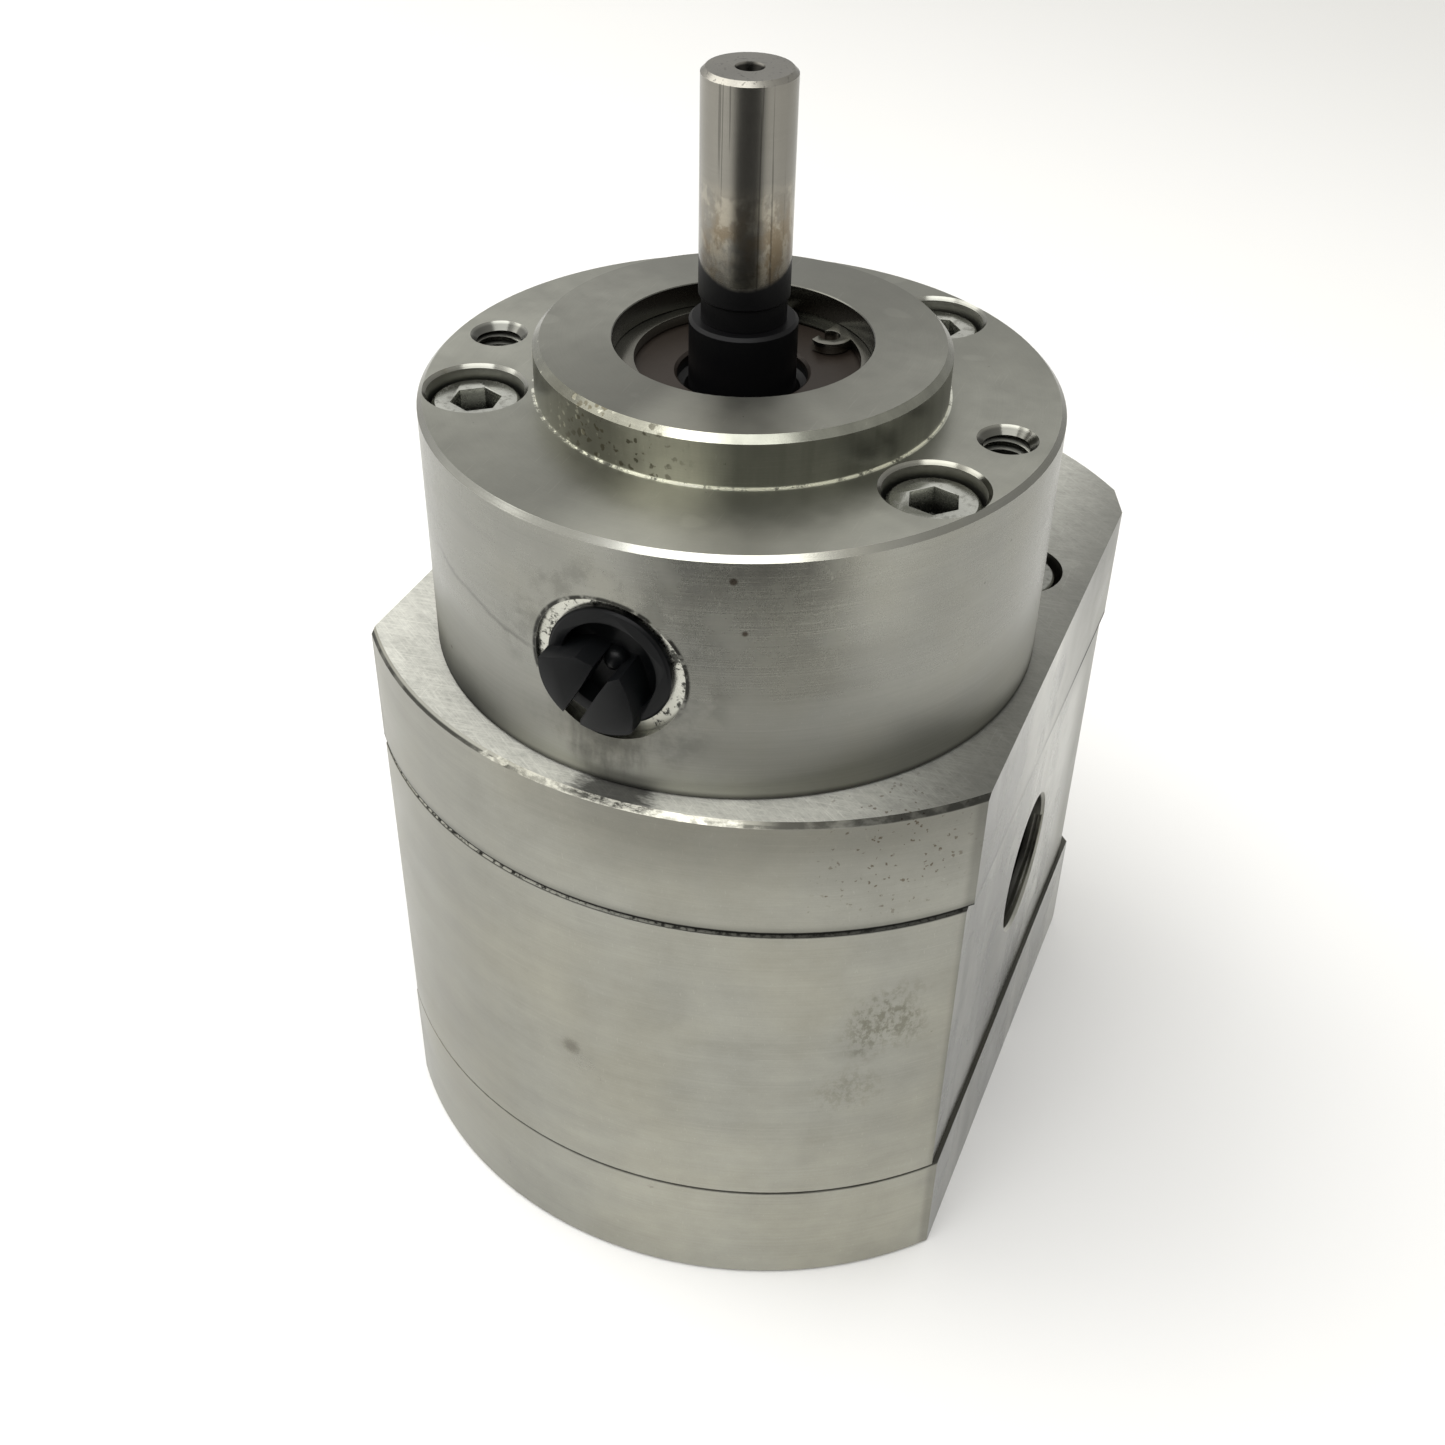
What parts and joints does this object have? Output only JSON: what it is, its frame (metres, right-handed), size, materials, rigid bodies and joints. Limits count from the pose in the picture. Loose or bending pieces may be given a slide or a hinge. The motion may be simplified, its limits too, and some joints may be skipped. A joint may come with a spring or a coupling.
{
  "type": "gear pump",
  "caption": "External gear pump: flat-sided three-plate steel body, eccentric round seal housing with pilot spigot, plugged side port and plain drive shaft",
  "frame": {"origin": "on the drive shaft axis, at the rear face of the rear plate that the pump stands on", "axes": "+Z along the drive shaft towards its free end, +Y from the drive shaft to the idler shaft, +X out of the right-hand port face"},
  "size_m": [0.0764, 0.102, 0.1431],
  "materials": {
    "stainless_body": "fine turned and milled stainless steel, satin, slightly warm grey",
    "ground_shaft": "ground steel with a faint brown stain",
    "gear_steel": "machined steel",
    "key_steel": "ground steel",
    "screw_steel": "bright stainless steel",
    "ring_steel": "spring steel",
    "seal_case": "brownish pressed seal case",
    "seal_rubber": "black moulded rubber",
    "carbon": "filled carbon bearing material",
    "bronze": "turned bronze",
    "plug_plastic": "black moulded plastic"
  },
  "bodies": {
    "casing": {"seal_housing": "stainless_body", "front_plate": "stainless_body", "centre_plate": "stainless_body", "rear_plate": "stainless_body", "front_wear_plate": "carbon", "rear_wear_plate": "carbon", "drive_front_bush": "carbon", "idler_front_bush": "carbon", "drive_rear_bush": "carbon", "idler_rear_bush": "carbon", "outer_seal_lip": "seal_rubber", "outer_seal_spring": "ring_steel", "inner_seal_case": "seal_case", "inner_seal_lip": "seal_rubber", "inner_seal_spring": "ring_steel", "lantern_ring": "bronze", "housing_oring": "seal_rubber", "front_oring": "seal_rubber", "rear_oring": "seal_rubber", "body_dowels": "key_steel", "housing_dowels": "key_steel", "outer_seal_case": "seal_case", "retaining_ring": "ring_steel", "housing_screws": "screw_steel", "body_screws": "screw_steel", "rear_screws": "screw_steel", "port_plug": "plug_plastic"},
    "drive_train": {"drive_shaft": "ground_shaft", "drive_gear": "gear_steel", "drive_key": "key_steel", "drive_gear_rings": "ring_steel"},
    "idler_train": {"idler_shaft": "ground_shaft", "idler_gear": "gear_steel", "idler_key": "key_steel", "idler_gear_rings": "ring_steel"}
  },
  "joints": [
    {"name": "drive_spin", "type": "hinge", "parent": "casing", "child": "drive_train", "pos_m": [0, 0, 0.08], "axis": [0, 0, 1], "continuous": true},
    {"name": "idler_spin", "type": "hinge", "parent": "casing", "child": "idler_train", "pos_m": [0, 0.024, 0.04], "axis": [0, 0, 1], "continuous": true}
  ],
  "couplings": [
    {"joint": "idler_spin", "follows": "drive_spin", "ratio": -1}
  ]
}
